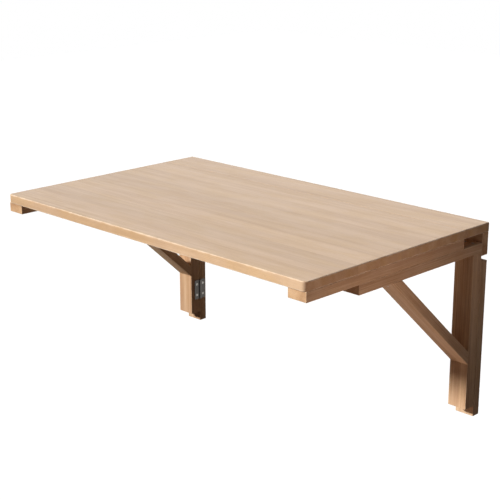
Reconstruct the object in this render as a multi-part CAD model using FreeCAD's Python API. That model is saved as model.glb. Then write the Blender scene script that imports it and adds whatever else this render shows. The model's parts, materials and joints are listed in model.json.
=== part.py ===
import FreeCAD, Part
import math
import os

# Wall mounted drop leaf table: a rear shelf on a wall rail, a leaf hinged to the
# shelf's front edge, and two triangular brackets that swing on wall plates.
# Millimetres. X runs along the wall, +Y points into the wall, Z points up.
# The origin is the middle of the wall rail's back face, so the wall is Y = 0.

Vector = FreeCAD.Vector

# Overall size
length = 973.0              # along the wall
depth = 600.0               # from the wall to the leaf's front edge

# Top boards
board_t = 21.0              # thickness of the leaf and the rear shelf
shelf_d = 89.0              # depth of the fixed rear shelf
seam_gap = 1.0              # open joint between shelf and leaf
leaf_corner_r = 11.0        # front corners of the leaf, seen from above
top_arris_r = 2.5           # rounding of the upper edges
low_arris = 1.5             # flat arris along the lower edges

# Members below the top
member_w = 49.0             # width of battens, arms, uprights, braces and wall plates
member_arris = 1.2          # flat arris planed along their edges
batten_t = 22.0
batten_front_setback = 3.0  # batten end behind the leaf's front edge
batten_rear_setback = 1.0   # batten end in front of the leaf's rear edge

# Wall side
rail_h = 53.0
rail_t = 22.0               # thickness of the wall rail and the wall plates
plate_gap = 13.0            # open space between rail and wall plate
plate_h = 373.0

# Swing bracket
upright_t = 31.0
upright_h = 369.0
upright_gap = 0.5           # between the wall plate and the upright
arm_len = 420.0
arm_t = 22.0
brace_t = 22.0
brace_reach = 283.0         # toe of the brace on the arm, from the upright
brace_drop = 258.0          # toe of the brace on the upright, from the arm

# Butt hinges
hinge_t = 1.6
hinge_corner = 2.0          # clipped outer corners of a plate
knuckle_r = 3.0
knuckle_count = 3
knuckle_gap = 0.3           # between neighbouring knuckles
notch_gap = 0.4             # between a plate and the other plate's knuckles
pin_r = 1.5
pin_clear = 0.05            # radial clearance of pin and knuckle
pin_sides = 10              # flats round a pin and its bore

leaf_hinge_len = 60.0
leaf_hinge_w = 25.0         # from the pin to the plate's edge
leaf_hinge_inset = 185.0    # outer leaf hinges, from the table's ends

bracket_hinge_len = 55.0
bracket_hinge_w = 20.0      # plate on the upright
wall_hinge_w = 18.0         # plate on the thinner wall plate
upper_hinge_inset = 25.0    # hinge end below the wall plate's top
lower_hinge_inset = 40.0    # hinge end above the upright's foot

# Screws and dowels
hinge_screw_r = 1.75
hinge_screw_head_r = 3.4
hinge_screw_len = 15.0
hinge_screw_inset = 12.0    # from the ends of a hinge plate
wood_screw_r = 2.0
wood_screw_head_r = 4.0
screw_sink = 0.3            # screw heads below the surface
batten_screw_len = 34.0
batten_screw_count = 3
batten_screw_inset = 50.0   # from the batten's ends
arm_screw_len = 60.0
brace_screw_bite = 16.0     # length of a bracket screw inside the brace
screw_pair_pitch = 20.0     # two screws side by side in a member
dowel_r = 4.0
dowel_len = 38.0
dowel_in_shelf = 13.0
dowel_count = 4
dowel_inset = 150.0         # outer dowels, from the shelf's ends
screw_sides = 8             # flats round a screw, a dowel and their holes

# Holes for the wall screws
wall_hole_r = 2.75
wall_hole_head_r = 5.5
rail_outer_inset = 65.0     # outer pair of rail holes, from the rail's ends
rail_inner_pitch = 280.0    # inner pair of rail holes
plate_hole_pitch = 140.0    # pair of holes in each wall plate

# Levels and planes worked out from the sizes above
rail_top = rail_h / 2
top_z = rail_top + board_t
arm_top = rail_top - batten_t
arm_low = arm_top - arm_t
upright_low = arm_low - upright_h
plate_top = -rail_h / 2 - plate_gap
plate_low = plate_top - plate_h
end_x = length / 2
inner_x = end_x - member_w
mid_x = end_x - member_w / 2
leaf_rear = -shelf_d - seam_gap
upright_rear = -rail_t - upright_gap
upright_front = upright_rear - upright_t
arm_front = upright_rear - arm_len
batten_rear = leaf_rear - batten_rear_setback
batten_front = -depth + batten_front_setback
leaf_pin = Vector(0, -shelf_d - seam_gap / 2, rail_top - knuckle_r)
bracket_pin = Vector(inner_x - knuckle_r, -rail_t - upright_gap / 2, 0)
upper_hinge_z = plate_top - upper_hinge_inset - bracket_hinge_len / 2
lower_hinge_z = upright_low + lower_hinge_inset + bracket_hinge_len / 2
brace_angle = math.atan2(brace_drop, brace_reach)
brace_on_arm = brace_t / math.sin(brace_angle)
brace_on_upright = brace_t / math.cos(brace_angle)
brace_toe_y = upright_front - brace_reach
brace_toe_z = arm_low - brace_drop

# Directions
TO_WALL = Vector(0, 1, 0)
TO_ROOM = Vector(0, -1, 0)
UP = Vector(0, 0, 1)
DOWN = Vector(0, 0, -1)
OUTWARD = Vector(1, 0, 0)   # away from the table's middle, on its right side

nodes = {}


def polygon_face(points):
    """Flat face inside a closed polygon."""
    return Part.Face(Part.makePolygon(points + points[:1]))


def slab(low, high):
    """Square-edged board between two corners, drawn as a section and extruded up."""
    section = polygon_face([
        Vector(low.x, low.y, low.z),
        Vector(high.x, low.y, low.z),
        Vector(high.x, high.y, low.z),
        Vector(low.x, high.y, low.z),
    ])
    return section.extrude(Vector(0, 0, high.z - low.z))


def plank(low, high):
    """Board with a flat arris along every edge."""
    solid = slab(low, high)
    return solid.makeChamfer(member_arris, solid.Edges)


def edges_where(shape, test):
    """Edges whose middle point passes a test."""
    return [e for e in shape.Edges if test(e.valueAt((e.FirstParameter + e.LastParameter) / 2))]


def mirrored(shape):
    """The same piece on the table's left side."""
    return shape.mirror(Vector(0, 0, 0), OUTWARD)


def placed(shape, origin, u_axis, v_axis):
    """Copy of a shape with its own X and Y laid along two directions."""
    w_axis = u_axis.cross(v_axis)
    moved = shape.copy()
    moved.Placement = FreeCAD.Placement(FreeCAD.Matrix(
        u_axis.x, v_axis.x, w_axis.x, origin.x,
        u_axis.y, v_axis.y, w_axis.y, origin.y,
        u_axis.z, v_axis.z, w_axis.z, origin.z,
        0, 0, 0, 1,
    ))
    return moved


def aimed(shape, origin, direction):
    """Copy of a shape drawn down its own Z, set at a point and turned along a direction."""
    moved = shape.copy()
    moved.Placement = FreeCAD.Placement(origin, FreeCAD.Rotation(DOWN, direction))
    return moved


def turned(profile, sides):
    """Small turned piece about Z with flat sides, through radius and height pairs."""
    angles = [2 * math.pi * i / sides for i in range(sides)]
    rings = [[Vector(r * math.cos(a), r * math.sin(a), z) for a in angles] for r, z in profile]
    faces = [polygon_face(rings[0]), polygon_face(rings[-1])]
    for upper, lower in zip(rings, rings[1:]):
        for i in range(sides):
            faces.append(polygon_face([upper[i - 1], upper[i], lower[i], lower[i - 1]]))
    return Part.makeSolid(Part.makeShell(faces))


def spread(count, first, last):
    """Evenly spaced values from first to last."""
    return [first + (last - first) * i / (count - 1) for i in range(count)]


class ScrewRow:
    """Countersunk screws of one kind, with the holes that they fill up to their heads."""

    def __init__(self, shank_r, head_r, screw_len, places):
        neck_z = -screw_sink - head_r + shank_r
        body = turned([(head_r, -screw_sink), (shank_r, neck_z), (shank_r, -screw_len)], screw_sides)
        mouth_r = head_r + screw_sink
        hole = turned([(mouth_r, 0), (shank_r, shank_r - mouth_r), (shank_r, -screw_len)], screw_sides)
        self.solids = [aimed(body, at, way) for at, way in places]
        self.holes = [aimed(hole, at, way) for at, way in places]


def hinge_screws(places):
    """Row of hinge screws."""
    return ScrewRow(hinge_screw_r, hinge_screw_head_r, hinge_screw_len, places)


def wood_screws(screw_len, places):
    """Row of wood screws."""
    return ScrewRow(wood_screw_r, wood_screw_head_r, screw_len, places)


def wall_hole(at):
    """Open countersunk hole through a board on the wall, entered at a point on its room side."""
    seat = wall_hole_head_r - wall_hole_r
    bore = Part.makeCylinder(wall_hole_r, rail_t, at, TO_WALL)
    mouth = Part.makeCone(wall_hole_head_r, wall_hole_r, seat, at, TO_WALL)
    return bore.fuse(mouth)


def knuckle_spans(hinge_len, first):
    """Start and end of every second knuckle along the pin."""
    pitch = hinge_len / knuckle_count
    starts = [-hinge_len / 2 + pitch * i for i in range(first, knuckle_count, 2)]
    return [(s + knuckle_gap / 2, s + pitch - knuckle_gap / 2) for s in starts]


def hinge_plate(hinge_len, plate_w, first):
    """Hinge plate with its rolled knuckles: pin on Z, plate towards +X, wood at +Y."""
    half = hinge_len / 2
    plate_y = knuckle_r - hinge_t
    near_x = knuckle_r + notch_gap
    clip_x = plate_w - hinge_corner
    clip_z = half - hinge_corner
    solid = polygon_face([
        Vector(near_x, plate_y, -half),
        Vector(clip_x, plate_y, -half),
        Vector(plate_w, plate_y, -clip_z),
        Vector(plate_w, plate_y, clip_z),
        Vector(clip_x, plate_y, half),
        Vector(near_x, plate_y, half),
    ]).extrude(Vector(0, hinge_t, 0))
    for start, end in knuckle_spans(hinge_len, first):
        tube = Part.makeCylinder(knuckle_r, end - start, Vector(0, 0, start))
        strap = slab(Vector(0, plate_y, start), Vector(near_x, knuckle_r, end))
        solid = solid.fuse([tube, strap])
    bore_r = (pin_r + pin_clear) / math.cos(math.pi / pin_sides)
    bore = turned([(bore_r, half), (bore_r, -half)], pin_sides)
    return solid.cut(bore).removeSplitter()


def hinge_pin(hinge_len):
    """Hinge pin along Z, flush with the outer knuckles."""
    return turned([(pin_r, hinge_len / 2), (pin_r, -hinge_len / 2)], pin_sides)


class HingeHalf:
    """One plate of a butt hinge with its screws, laid on the wood beside the pin."""

    def __init__(self, pin_at, plate_way, wood_way, hinge_len, plate_w, first):
        along = plate_way.cross(wood_way)
        middle = pin_at + plate_way * ((knuckle_r + notch_gap + plate_w) / 2)
        face = middle + wood_way * (knuckle_r - hinge_t)
        reach = hinge_len / 2 - hinge_screw_inset
        row = hinge_screws([(face + along * s, wood_way) for s in (-reach, reach)])
        blank = placed(hinge_plate(hinge_len, plate_w, first), pin_at, plate_way, wood_way)
        self.plate = blank.cut(row.holes)
        self.screws = row.solids
        self.holes = row.holes


def leaf_board():
    """Drop leaf with rounded front corners and a rounded upper edge on its three free sides."""
    tol = low_arris / 10
    solid = slab(Vector(-end_x, -depth, rail_top), Vector(end_x, leaf_rear, top_z))
    upright_edges = edges_where(
        solid,
        lambda p: rail_top + tol < p.z < top_z - tol and p.y < -depth + tol,
    )
    solid = solid.makeFillet(leaf_corner_r, upright_edges)
    upper = edges_where(solid, lambda p: p.z > top_z - tol and p.y < leaf_rear - tol)
    solid = solid.makeFillet(top_arris_r, upper)
    lower = edges_where(solid, lambda p: p.z < rail_top + tol and p.y < leaf_rear - tol)
    return solid.makeChamfer(low_arris, lower)


def shelf_board():
    """Rear shelf with the leaf's edge profile carried across its two ends."""
    tol = low_arris / 10
    solid = slab(Vector(-end_x, -shelf_d, rail_top), Vector(end_x, 0, top_z))
    upper = edges_where(solid, lambda p: p.z > top_z - tol and abs(p.x) > end_x - tol)
    solid = solid.makeFillet(top_arris_r, upper)
    lower = edges_where(solid, lambda p: p.z < rail_top + tol and abs(p.x) > end_x - tol)
    return solid.makeChamfer(low_arris, lower)


def brace_board():
    """Diagonal brace, cut level under the arm and plumb against the upright."""
    tol = member_arris / 10
    solid = polygon_face([
        Vector(inner_x, brace_toe_y, arm_low),
        Vector(inner_x, upright_front, brace_toe_z),
        Vector(inner_x, upright_front, brace_toe_z + brace_on_upright),
        Vector(inner_x, brace_toe_y + brace_on_arm, arm_low),
    ]).extrude(Vector(member_w, 0, 0))
    long_edges = edges_where(solid, lambda p: p.y < upright_front - tol and p.z < arm_low - tol)
    return solid.makeChamfer(member_arris, long_edges)


def add_wall_rail():
    """Wall rail with its open screw holes, the rear shelf above it and their dowels."""
    rail = plank(Vector(-end_x, -rail_t, -rail_h / 2), Vector(end_x, 0, rail_top))
    hole_x = [rail_inner_pitch / 2, end_x - rail_outer_inset]
    holes = [wall_hole(Vector(side * x, -rail_t, 0)) for x in hole_x for side in (-1, 1)]
    pin = turned([(dowel_r, 0), (dowel_r, -dowel_len)], screw_sides)
    dowel_x = spread(dowel_count, -end_x + dowel_inset, end_x - dowel_inset)
    dowels = [aimed(pin, Vector(x, -rail_t / 2, rail_top + dowel_in_shelf), DOWN) for x in dowel_x]
    nodes["shelf_dowels"] = Part.makeCompound(dowels)
    nodes["wall_rail"] = rail.cut(holes + dowels)
    nodes["rear_shelf"] = shelf_board().cut(dowels)


def add_leaf():
    """Drop leaf with a batten screwed under each end."""
    batten = plank(Vector(inner_x, batten_front, arm_top), Vector(end_x, batten_rear, rail_top))
    screw_y = spread(batten_screw_count, batten_front + batten_screw_inset, batten_rear - batten_screw_inset)
    row = wood_screws(batten_screw_len, [(Vector(mid_x, y, arm_top), UP) for y in screw_y])
    screws = Part.makeCompound(row.solids)
    nodes["leaf_batten_right"] = batten.cut(row.holes)
    nodes["leaf_batten_left"] = mirrored(nodes["leaf_batten_right"])
    nodes["batten_screws_right"] = screws
    nodes["batten_screws_left"] = mirrored(screws)
    nodes["drop_leaf"] = leaf_board().cut(row.holes + [mirrored(hole) for hole in row.holes])


def add_leaf_hinges():
    """Butt hinges under the joint between the rear shelf and the leaf."""
    outer_x = end_x - leaf_hinge_inset
    shelf_screws = []
    leaf_screws = []
    for side, x in {"left": -outer_x, "middle": 0, "right": outer_x}.items():
        pin_at = leaf_pin + Vector(x, 0, 0)
        fixed = HingeHalf(pin_at, TO_WALL, UP, leaf_hinge_len, leaf_hinge_w, 0)
        moving = HingeHalf(pin_at, TO_ROOM, UP, leaf_hinge_len, leaf_hinge_w, 1)
        nodes["shelf_hinge_plate_" + side] = fixed.plate
        nodes["leaf_hinge_plate_" + side] = moving.plate
        nodes["leaf_hinge_pin_" + side] = placed(hinge_pin(leaf_hinge_len), pin_at, TO_WALL, UP)
        nodes["rear_shelf"] = nodes["rear_shelf"].cut(fixed.holes)
        nodes["drop_leaf"] = nodes["drop_leaf"].cut(moving.holes)
        shelf_screws += fixed.screws
        leaf_screws += moving.screws
    nodes["shelf_hinge_screws"] = Part.makeCompound(shelf_screws)
    nodes["leaf_hinge_screws"] = Part.makeCompound(leaf_screws)


def bracket_pieces():
    """Right wall plate, swing bracket and the two hinges between them."""
    pieces = {}
    plate = plank(Vector(inner_x, -rail_t, plate_low), Vector(end_x, 0, plate_top))
    upright = plank(Vector(inner_x, upright_front, upright_low), Vector(end_x, upright_rear, arm_low))
    arm = plank(Vector(inner_x, arm_front, arm_low), Vector(end_x, upright_rear, arm_top))

    plate_mid = (plate_top + plate_low) / 2
    hole_z = [plate_mid - plate_hole_pitch / 2, plate_mid + plate_hole_pitch / 2]
    plate = plate.cut([wall_hole(Vector(mid_x, -rail_t, z)) for z in hole_z])

    plate_screws = []
    upright_screws = []
    for level, z in {"upper": upper_hinge_z, "lower": lower_hinge_z}.items():
        pin_at = bracket_pin + Vector(0, 0, z)
        fixed = HingeHalf(pin_at, TO_WALL, OUTWARD, bracket_hinge_len, wall_hinge_w, 0)
        moving = HingeHalf(pin_at, TO_ROOM, OUTWARD, bracket_hinge_len, bracket_hinge_w, 1)
        pieces["wall_hinge_plate_" + level] = fixed.plate
        pieces["bracket_hinge_plate_" + level] = moving.plate
        pieces["bracket_hinge_pin_" + level] = placed(hinge_pin(bracket_hinge_len), pin_at, TO_ROOM, OUTWARD)
        plate = plate.cut(fixed.holes)
        upright = upright.cut(moving.holes)
        plate_screws += fixed.screws
        upright_screws += moving.screws

    pair_x = [mid_x - screw_pair_pitch / 2, mid_x + screw_pair_pitch / 2]
    seat_y = (upright_rear + upright_front) / 2
    seat_row = wood_screws(arm_screw_len, [(Vector(x, seat_y, arm_top), DOWN) for x in pair_x])
    head_y = brace_toe_y + brace_on_arm / 2
    head_row = wood_screws(arm_t + brace_screw_bite, [(Vector(mid_x, head_y, arm_top), DOWN)])
    foot_z = brace_toe_z + brace_on_upright / 2
    foot_row = wood_screws(upright_t + brace_screw_bite, [(Vector(mid_x, upright_rear, foot_z), TO_ROOM)])

    pieces["wall_plate"] = plate
    pieces["upright"] = upright.cut(seat_row.holes + foot_row.holes)
    pieces["arm"] = arm.cut(seat_row.holes + head_row.holes)
    pieces["brace"] = brace_board().cut(head_row.holes + foot_row.holes)
    pieces["wall_hinge_screws"] = Part.makeCompound(plate_screws)
    pieces["bracket_hinge_screws"] = Part.makeCompound(upright_screws)
    pieces["arm_screws"] = Part.makeCompound(seat_row.solids)
    pieces["brace_screws"] = Part.makeCompound(head_row.solids + foot_row.solids)
    return pieces


def main():
    """Build every piece and write one file per node."""
    add_wall_rail()
    add_leaf()
    add_leaf_hinges()
    for name, shape in bracket_pieces().items():
        nodes[name + "_right"] = shape
        nodes[name + "_left"] = mirrored(shape)
    os.makedirs("parts", exist_ok=True)
    for name, shape in nodes.items():
        shape.exportStep("parts/" + name + ".step")


main()
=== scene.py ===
"""Wall table with a hinged leaf: the meshes, finishes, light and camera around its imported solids.

Metres. X runs along the wall, +Y points into the wall, Z points up, and the wall is Y = 0.
"""
import json
import logging
import math
from dataclasses import dataclass, field
from enum import Enum
from typing import Any, Iterable, Sequence

import bmesh
import bpy
from mathutils import Euler, Matrix, Vector


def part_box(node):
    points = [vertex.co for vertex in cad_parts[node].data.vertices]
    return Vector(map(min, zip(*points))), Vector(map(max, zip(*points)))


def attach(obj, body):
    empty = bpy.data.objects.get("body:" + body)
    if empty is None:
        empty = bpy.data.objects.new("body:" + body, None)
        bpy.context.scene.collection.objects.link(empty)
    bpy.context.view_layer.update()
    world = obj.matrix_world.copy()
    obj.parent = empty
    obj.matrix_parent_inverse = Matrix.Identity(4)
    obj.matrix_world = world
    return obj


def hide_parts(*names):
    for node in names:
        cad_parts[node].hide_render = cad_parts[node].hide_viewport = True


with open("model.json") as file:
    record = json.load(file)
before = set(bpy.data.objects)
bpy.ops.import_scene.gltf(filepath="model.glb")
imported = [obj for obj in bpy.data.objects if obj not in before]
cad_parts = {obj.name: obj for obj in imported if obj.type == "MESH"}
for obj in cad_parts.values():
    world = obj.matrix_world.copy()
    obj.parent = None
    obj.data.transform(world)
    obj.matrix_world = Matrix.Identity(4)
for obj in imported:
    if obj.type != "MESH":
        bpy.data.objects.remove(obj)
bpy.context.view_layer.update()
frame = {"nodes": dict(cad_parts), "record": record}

log = logging.getLogger("wall_table")

Colour = tuple[float, float, float, float]
Triple = tuple[float, float, float]
Plane = tuple[int, float]         # number of the axis that it is square to, and its level there
Mesh = bmesh.types.BMesh
Edge = bmesh.types.BMEdge
Piece = bpy.types.Object
Material = bpy.types.Material
Socket = bpy.types.NodeSocket
Sockets = bpy.types.bpy_prop_collection

MM = 0.001
X_WAY = Vector((1, 0, 0))
Y_WAY = Vector((0, 1, 0))
Z_WAY = Vector((0, 0, 1))
Y, Z = 1, 2
WHITE = (1.0, 1.0, 1.0, 1.0)
SMOOTH_LIMIT = math.radians(32)   # sharper edges stay crisp
TOLERANCE = 0.01 * MM             # within which a point lies on a plane
DRILL_SIDES = 32
TURNED_SIDES = 24
HOLE_MOUTH = 1.0 * MM             # how far a countersink opens past the surface
FLOAT = "NodeSocketFloat"
VECTOR = "NodeSocketVector"
GEOMETRY = "NodeSocketGeometry"


class Side(Enum):
    """The two ends of the table, with the way that points outwards there."""

    LEFT = -1
    RIGHT = 1

    @property
    def word(self) -> str:
        """The side's name in the names of pieces."""
        return self.name.lower()

    @property
    def outward(self) -> Vector:
        """Away from the table's middle."""
        return X_WAY * self.value


class Knuckles(Enum):
    """Which of a hinge's knuckles a plate carries, counted from one end."""

    OUTER = 0
    MIDDLE = 1


class Wiring:
    """Adds nodes to one tree and links them by value or by socket."""

    ROUGHNESS = 0.55                  # how far the finer octaves of noise show

    def __init__(self, tree: bpy.types.NodeTree) -> None:
        """Keep the tree that receives the nodes."""
        self.tree = tree

    @classmethod
    def fresh(cls, owner: bpy.types.ID) -> "Wiring":
        """Empty the tree of a material or a world.

        Args:
            owner: the material or world.

        Returns:
            The wiring of its tree.
        """
        owner.use_nodes = True
        owner.node_tree.nodes.clear()
        return cls(owner.node_tree)

    def add(self, kind: str, feeds: dict[Any, Any] | None = None, **settings: Any) -> bpy.types.Node:
        """Make a node.

        Args:
            kind: the node's type name.
            feeds: values or sockets for its inputs, by input name or index.
            settings: properties of the node.

        Returns:
            The new node.
        """
        node = self.tree.nodes.new(kind)
        for name, value in settings.items():
            setattr(node, name, value)
        for name, value in (feeds or {}).items():
            self.feed(node.inputs[name], value)
        return node

    def out(self, kind: str, feeds: dict[Any, Any] | None = None, **settings: Any) -> Socket:
        """Make a node as add does, and give its first output."""
        return self.add(kind, feeds, **settings).outputs[0]

    def feed(self, socket: Socket, value: Any) -> None:
        """Link a socket, or set a plain value.

        Args:
            socket: the input.
            value: the socket that it is linked to, or its value.
        """
        if isinstance(value, Socket):
            self.tree.links.new(value, socket)
        else:
            socket.default_value = value

    def sum(self, operation: str, *values: Any, clamp: bool = False) -> Socket:
        """Arithmetic on numbers or sockets, kept between 0 and 1 if clamped."""
        return self.out("ShaderNodeMath", dict(enumerate(values)), operation=operation, use_clamp=clamp)

    def plus(self, first: Any, second: Any, clamp: bool = False) -> Socket:
        """Add two numbers or sockets."""
        return self.sum("ADD", first, second, clamp=clamp)

    def minus(self, first: Any, second: Any, clamp: bool = False) -> Socket:
        """Take the second number or socket from the first."""
        return self.sum("SUBTRACT", first, second, clamp=clamp)

    def times(self, first: Any, second: Any) -> Socket:
        """Multiply two numbers or sockets."""
        return self.sum("MULTIPLY", first, second)

    def vector(self, operation: str, *values: Any) -> Socket:
        """Arithmetic on vectors or sockets."""
        return self.out("ShaderNodeVectorMath", dict(enumerate(values)), operation=operation)

    def split(self, vector: Socket) -> Sockets:
        """The three parts of a vector."""
        return self.add("ShaderNodeSeparateXYZ", {0: vector}).outputs

    def join(self, x: Any = 0.0, y: Any = 0.0, z: Any = 0.0) -> Socket:
        """A vector of three numbers or sockets."""
        return self.out("ShaderNodeCombineXYZ", {0: x, 1: y, 2: z})

    def ramp(self, value: Any, low: float, high: float, to_low: float = 0.0, to_high: float = 1.0) -> Socket:
        """Smooth step: to_low at and below low, to_high at and above high."""
        feeds = {"Value": value, "From Min": low, "From Max": high, "To Min": to_low, "To Max": to_high}
        return self.out("ShaderNodeMapRange", feeds, interpolation_type="SMOOTHSTEP")

    def blend(self, share: Any, first: Any, second: Any, mode: str = "MIX") -> Socket:
        """Mix two colours by the share of the second one."""
        feeds = {0: share, 6: first, 7: second}
        return self.add("ShaderNodeMix", feeds, data_type="RGBA", blend_type=mode).outputs[2]

    def noise(self, place: Socket, stretch: Triple, detail: float = 2.0) -> Socket:
        """Noise about 0.5, with its own cycles per metre along each axis."""
        feeds = {"Vector": self.vector("MULTIPLY", place, Vector(stretch)), "Scale": 1.0,
                 "Detail": detail, "Roughness": self.ROUGHNESS}
        return self.out("ShaderNodeTexNoise", feeds)

    def bumps(self, height: Socket, strength: float, depth: float) -> Socket:
        """Surface normal over a height, with the bumps' strength and depth."""
        return self.out("ShaderNodeBump", {"Height": height, "Strength": strength, "Distance": depth})

    def surface(self, feeds: dict[str, Any]) -> None:
        """Add the main shader, with values or sockets for its inputs, and the material's output."""
        self.add("ShaderNodeOutputMaterial", {"Surface": self.out("ShaderNodeBsdfPrincipled", feeds)})


class Group:
    """A node group with named sockets, built once."""

    def __init__(self, name: str, inputs: dict[str, str], outputs: dict[str, str],
                 tree_kind: str = "ShaderNodeTree") -> None:
        """Make the tree and its sockets.

        Args:
            name: the group's name.
            inputs: kind of each input socket, by its name.
            outputs: kind of each output socket, by its name.
            tree_kind: type of tree.
        """
        self.tree = bpy.data.node_groups.new(name, tree_kind)
        for way, sockets in (("INPUT", inputs), ("OUTPUT", outputs)):
            for socket, kind in sockets.items():
                self.tree.interface.new_socket(socket, in_out=way, socket_type=kind)
        self.wiring = Wiring(self.tree)
        self.given = self.wiring.add("NodeGroupInput").outputs
        self.result = self.wiring.add("NodeGroupOutput").inputs

    def give(self, **results: Socket) -> None:
        """Link results to the outputs, with underscores for spaces in their names."""
        for name, socket in results.items():
            self.wiring.feed(self.result[name.replace("_", " ").title()], socket)

    def place(self, wiring: Wiring, feeds: dict[str, Any]) -> Sockets:
        """Put the group into a material, with values or sockets for its inputs, and give its outputs."""
        return wiring.add("ShaderNodeGroup", feeds, node_tree=self.tree).outputs


def floats(*names: str) -> dict[str, str]:
    """Sockets that carry a number."""
    return dict.fromkeys(names, FLOAT)


def timber_figure() -> Group:
    """Growth rings, streaks and pores of glued-up hardwood, fibres along X.

    Returns:
        The node group.
    """
    group = Group("timber_figure", {"Vector": VECTOR} | floats("Strip Width", "Ring Pitch", "Seed"),
                  floats("Late Wood", "Streak", "Strip Tone", "Pores", "Height"))
    w, given = group.wiring, group.given
    along, across, through = w.split(given["Vector"])
    strip = w.sum("FLOOR", w.plus(w.sum("DIVIDE", across, given["Strip Width"]), 0.5))
    key = w.join(strip, given["Seed"])
    chance = w.add("ShaderNodeTexWhiteNoise", {"Vector": key}, noise_dimensions="3D").outputs
    tone, side, depth = w.split(chance["Color"])

    log_length = 40.0                 # each strip comes from its own place along one long log
    shifted = w.join(w.plus(along, w.times(chance["Value"], log_length)), across, through)
    wander = w.minus(w.noise(shifted, (1.5, 7.0, 7.0)), 0.5)
    local = w.minus(across, w.times(strip, given["Strip Width"]))
    from_side = w.plus(local, w.ramp(side, 0.0, 1.0, -0.035, 0.035))
    from_pith = w.plus(through, w.ramp(depth, 0.0, 1.0, 0.02, 0.09))
    square = w.plus(w.sum("POWER", from_side, 2.0), w.sum("POWER", from_pith, 2.0))
    radius = w.plus(w.sum("SQRT", square), w.times(wander, 0.03))
    ring = w.sum("FRACT", w.sum("DIVIDE", radius, given["Ring Pitch"]))
    late = w.times(w.sum("POWER", ring, 2.5), w.ramp(ring, 0.9, 1.0, 1.0, 0.0))
    patchy = w.ramp(w.noise(shifted, (4.0, 30.0, 30.0), 1.0), 0.3, 0.7, 0.35, 1.0)

    broad = w.noise(shifted, (1.8, 38.0, 38.0), 3.0)
    fine = w.noise(shifted, (9.0, 620.0, 620.0))
    pores = w.ramp(w.noise(shifted, (120.0, 1700.0, 1700.0), 1.0), 0.62, 0.72)
    flecks = w.ramp(w.noise(shifted, (280.0, 1500.0, 260.0), 1.0), 0.60, 0.74)
    group.give(
        late_wood=w.times(late, patchy),
        streak=w.plus(w.times(broad, 0.62), w.times(fine, 0.38)),
        strip_tone=tone,
        pores=w.plus(w.times(pores, 0.8), w.times(flecks, 0.35), clamp=True),
        height=w.minus(w.times(fine, 0.35), w.times(pores, 0.65)),
    )
    return group


def board_edges() -> Group:
    """Rubbed arrises of a board, which on the top also carry a painted highlight, and the grime beside them, from the
    distance to its nearest edge.

    Returns:
        The node group.
    """
    group = Group("board_edges", {"Vector": VECTOR, "Half Size": VECTOR} | floats("Reach"), floats("Wear", "Grime"))
    w, given = group.wiring, group.given
    place, reach = given["Vector"], given["Reach"]
    a, b, c = w.split(w.vector("SUBTRACT", given["Half Size"], w.vector("ABSOLUTE", place)))
    nearer, further = w.sum("MINIMUM", a, b), w.sum("MAXIMUM", a, b)
    edge = w.sum("MAXIMUM", nearer, w.sum("MINIMUM", further, c))
    patchy = w.ramp(w.noise(place, (55.0, 55.0, 55.0), 3.0), 0.3, 0.75, 0.6, 1.5)
    blotch = w.ramp(w.noise(place, (18.0, 18.0, 18.0), 3.0), 0.4, 0.7)
    grime_reach = 9.0                 # times as far as the wear
    wear, grime = (w.minus(1.0, w.sum("DIVIDE", edge, w.times(reach, part)), clamp=True)
                   for part in (patchy, grime_reach))
    group.give(wear=wear, grime=w.times(grime, blotch))
    return group


def film_unevenness() -> Group:
    """Uneven gloss of a brushed or wiped film, as on lacquer or rolled steel.

    Returns:
        The node group.
    """
    group = Group("film_unevenness", {"Vector": VECTOR} | floats("Level", "Spread"), floats("Roughness", "Cloud"))
    w, given = group.wiring, group.given
    slow = w.noise(given["Vector"], (7.0, 7.0, 7.0), 3.0)
    quick = w.noise(given["Vector"], (70.0, 240.0, 240.0))
    mixed = w.plus(w.times(slow, 0.7), w.times(quick, 0.3))
    offset = w.times(w.minus(mixed, 0.5), given["Spread"])
    group.give(roughness=w.plus(given["Level"], offset), cloud=slow)
    return group


class Effects:
    """The shader groups that the finishes share."""

    def __init__(self) -> None:
        """Build each group once."""
        self.figure = timber_figure()
        self.edges = board_edges()
        self.film = film_unevenness()


def new_material(name: str) -> tuple[Material, Wiring]:
    """Make an empty node material, and give it with its wiring."""
    material = bpy.data.materials.new(name)
    return material, Wiring.fresh(material)


def axes(first: Vector, second: Vector) -> Matrix:
    """Rotation from the table's axes to two ways and the one square to both."""
    return Matrix((first, second, first.cross(second)))


@dataclass
class BoardFrame:
    """A board's own axes: along the fibres, across the width and through the thickness."""

    grain: Vector
    width: Vector
    middle: Vector
    half: Vector
    spared: tuple[float, float] = (0.0, 0.0)   # how far wear stays off the two long edges


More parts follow.
